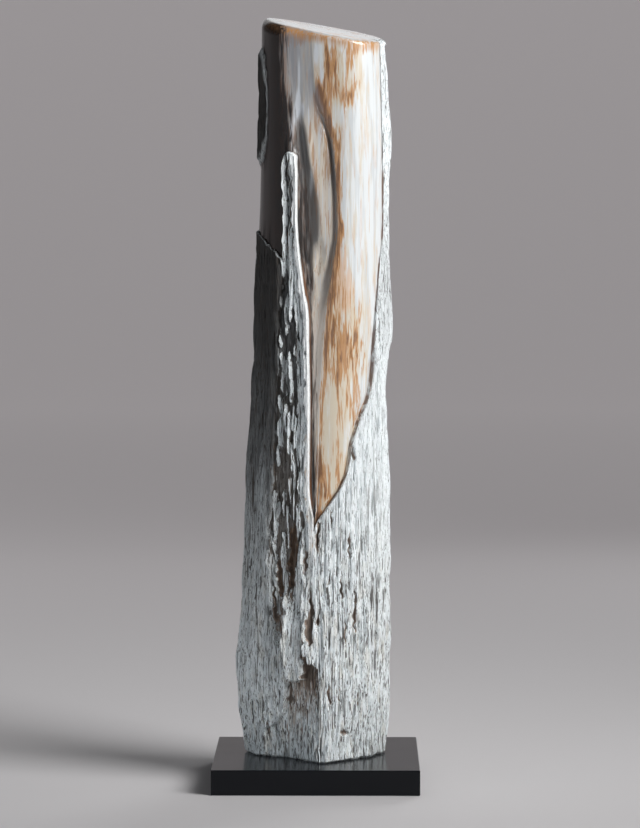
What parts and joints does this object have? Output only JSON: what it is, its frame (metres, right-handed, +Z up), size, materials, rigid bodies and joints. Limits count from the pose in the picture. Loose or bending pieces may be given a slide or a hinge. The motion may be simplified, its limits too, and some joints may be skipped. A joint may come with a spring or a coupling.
{
  "type": "petrified wood column on plinth",
  "caption": "Free-standing column of petrified wood, raw below and polished above, on a square black plinth.",
  "frame": {"origin": "centre of the plinth's underside", "axes": "+Z up along the column, -Y towards the polished and carved front"},
  "size_m": [0.245, 0.245, 0.9123],
  "materials": {
    "petrified_wood": "raw fossil grain, ground and polished on the upper front",
    "black_lacquer": "gloss"
  },
  "bodies": {
    "root": {"column": "petrified_wood", "plinth": "black_lacquer"}
  },
  "joints": []
}
